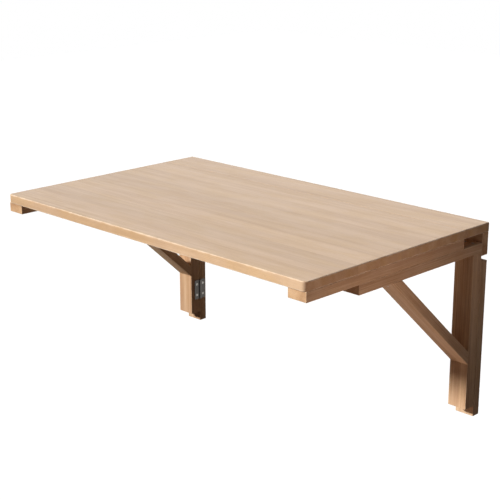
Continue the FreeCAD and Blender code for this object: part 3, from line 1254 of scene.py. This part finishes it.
@dataclass
class HingeRow:
    """Butt hinges in one line, each between a part on the wall and a part that swings."""

    shop: Shop
    steel: Material
    fixed: str                        # first word of the plates' and screws' names on the wall
    moving: str                       # the same on what swings
    body: str                         # body that swings
    places: Sequence[str]             # last words of the hinges' names
    wood_way: Vector
    ending: str = ""                  # end of the screws' and the pin set's names

    def make(self) -> None:
        """Build and dress the plates, then the pins."""
        pins = [f"{self.moving}_hinge_pin_{place}" for place in self.places]
        for place, pin in zip(self.places, pins):
            for part, body, way, knuckles in (
                (self.fixed, "wall_frame", Y_WAY, Knuckles.OUTER),
                (self.moving, self.body, -Y_WAY, Knuckles.MIDDLE),
            ):
                HingePlate(f"{part}_hinge_plate_{place}", pin, f"{part}_hinge_screws{self.ending}", body, way,
                           self.wood_way, knuckles).make(self.steel)
        FastenerSet(pins, "wall_frame", "hinge_steel").make(
            f"{self.moving}_hinge_pin_set{self.ending}", self.shop.turned, self.steel)


@dataclass(frozen=True)
class Lamp:
    """A lamp of which only the light is seen."""

    name: str
    kind: str
    power: float
    at: Triple
    aim: Triple
    colour: Triple = (1.0, 1.0, 1.0)
    settings: dict[str, Any] = field(default_factory=dict)

    def make(self, scene: bpy.types.Scene) -> None:
        """Hang the lamp and turn it to its aim.

        Args:
            scene: the scene that is lit.
        """
        data = bpy.data.lights.new(self.name, self.kind)
        data.energy, data.color = self.power, self.colour
        for name, value in self.settings.items():
            setattr(data, name, value)
        lamp = bpy.data.objects.new(self.name, data)
        lamp.location = self.at
        lamp.rotation_euler = (Vector(self.at) - Vector(self.aim)).to_track_quat("Z", "Y").to_euler()
        lamp.visible_camera = lamp.visible_glossy = False
        scene.collection.objects.link(lamp)


def warm_fill(name: str, power: float, at: Triple, aim: Triple, cone: float) -> Lamp:
    """A soft warm lamp, aimed at part of the shaded side, with its cone in degrees."""
    settings = {"spot_size": math.radians(cone), "spot_blend": 1.0, "shadow_soft_size": 0.2}
    return Lamp(name, "SPOT", power, at, aim, (1.0, 0.74, 0.64), settings)


@dataclass
class Studio:
    """Camera, soft lamps, white surroundings and a pale floor."""

    lens: float = 87.58
    sensor: float = 36.0
    sight: float = 50.0               # how far the camera sees
    camera_at: Triple = (1.9457, -2.206, 0.7581)
    azimuth: float = math.radians(45.01)
    elevation: float = math.radians(16.63)
    roll: float = math.radians(-0.08)
    lamps: tuple[Lamp, ...] = (
        Lamp("key", "SUN", 5.5, (-1.25, -1.48, 1.0), (0, 0, 0), (1.0, 0.985, 0.96), {"angle": math.radians(5.0)}),
        Lamp("under", "AREA", 0.35, (0, -0.31, -0.9), (0, -0.31, 0),
             settings={"shape": "RECTANGLE", "size": 0.76, "size_y": 0.5, "spread": math.radians(24)}),
        warm_fill("fill_end", 50.0, (2.03, -0.81, -0.68), (0.41, -0.38, 0.13), 28.6),
        warm_fill("fill_brace", 13.3, (0.45, -0.3, -0.82), (0.8, -0.17, -0.1), 67.0),
    )
    around: Colour = (0.043, 0.032, 0.028, 1.0)
    overhead: Colour = (0.25, 0.26, 0.28, 1.0)
    overhead_from: float = 0.45       # rise of a ray at which the light overhead begins
    behind: Colour = (0.95, 0.95, 0.96, 1.0)
    behind_from: float = 0.75
    floor_level: float = -1.0
    floor_half: float = 9.0
    floor_bounce: Colour = (0.10, 0.075, 0.06, 1.0)
    floor_shade: Colour = (0.45, 0.45, 0.45, 1.0)   # part of the floor's look that takes shadow
    floor_glow: float = 0.62

    def make(self) -> None:
        """Set up everything around the object."""
        scene = bpy.context.scene
        scene.view_settings.view_transform = "Standard"
        self.make_camera(scene)
        for lamp in self.lamps:
            lamp.make(scene)
        self.make_world(scene)
        self.make_floor()

    def make_camera(self, scene: bpy.types.Scene) -> None:
        """Camera at the photograph's place and angle.

        Args:
            scene: the scene that looks through it.
        """
        data = bpy.data.cameras.new("camera")
        data.lens, data.sensor_width, data.clip_end = self.lens, self.sensor, self.sight
        camera = bpy.data.objects.new("camera", data)
        camera.location = self.camera_at
        turn = Euler((math.pi / 2 - self.elevation, 0, self.azimuth)).to_matrix()
        camera.rotation_euler = (turn @ Matrix.Rotation(self.roll, 3, "Z")).to_euler()
        scene.collection.objects.link(camera)
        scene.camera = camera

    @staticmethod
    def white_rays(w: Wiring) -> Socket:
        """Share of a ray that meets white surroundings: 1 for what is seen, mirrored or looked through.

        Args:
            w: wiring of the world or the floor.

        Returns:
            The share's socket.
        """
        path = w.add("ShaderNodeLightPath").outputs
        mirrored = w.sum("MAXIMUM", path["Is Glossy Ray"], path["Is Transmission Ray"])
        return w.sum("MAXIMUM", path["Is Camera Ray"], mirrored)

    def make_world(self, scene: bpy.types.Scene) -> None:
        """White where it is seen, and otherwise a low light that is stronger overhead and behind.

        Args:
            scene: the scene that it surrounds.
        """
        scene.world = bpy.data.worlds.new("surroundings")
        w = Wiring.fresh(scene.world)
        _, back, up = w.split(w.add("ShaderNodeTexCoord").outputs["Generated"])
        soft = w.blend(w.ramp(up, self.overhead_from, 1.0), self.around, self.overhead, "ADD")
        soft = w.blend(w.ramp(back, self.behind_from, 1.0), soft, self.behind, "ADD")
        light = w.out("ShaderNodeBackground", {"Color": w.blend(self.white_rays(w), soft, WHITE), "Strength": 1.0})
        w.add("ShaderNodeOutputWorld", {"Surface": light})

    def make_floor(self) -> None:
        """Pale floor, white to the camera and seen only from above."""
        shape = bmesh.new()
        bmesh.ops.create_grid(shape, x_segments=1, y_segments=1, size=self.floor_half,
                              matrix=Matrix.Translation((0, 0, self.floor_level)))
        floor = place_object("floor", shape)
        material, w = new_material("floor_pale")
        bounce, shade = (w.out("ShaderNodeBsdfDiffuse", {"Color": c}) for c in (self.floor_bounce, self.floor_shade))
        shown = w.out("ShaderNodeAddShader", {0: shade, 1: w.out("ShaderNodeEmission", {"Strength": self.floor_glow})})
        above = w.out("ShaderNodeMixShader", {0: self.white_rays(w), 1: bounce, 2: shown})
        under = w.add("ShaderNodeNewGeometry").outputs["Backfacing"]
        whole = w.out("ShaderNodeMixShader", {0: under, 1: above, 2: w.out("ShaderNodeBsdfTransparent")})
        w.add("ShaderNodeOutputMaterial", {"Surface": whole})
        floor.data.materials.append(material)


def main() -> None:
    """Build the sub-assemblies in order, then the studio."""
    logging.basicConfig(level=logging.INFO, format="%(name)s: %(message)s")
    shop = Shop()
    WallFrame(shop).make()
    DropLeaf(shop).make()
    for side in Side:
        SwingBracket(shop, side).make()
    HingeRow(shop, shop.leaf_steel, "shelf", "leaf", "leaf", ("left", "middle", "right"), Z_WAY).make()
    for side in Side:
        HingeRow(shop, shop.bracket_steel, "wall", "bracket", f"bracket_{side.word}",
                 (f"upper_{side.word}", f"lower_{side.word}"), side.outward, f"_{side.word}").make()
    Studio().make()


if __name__ == "__main__":
    main()
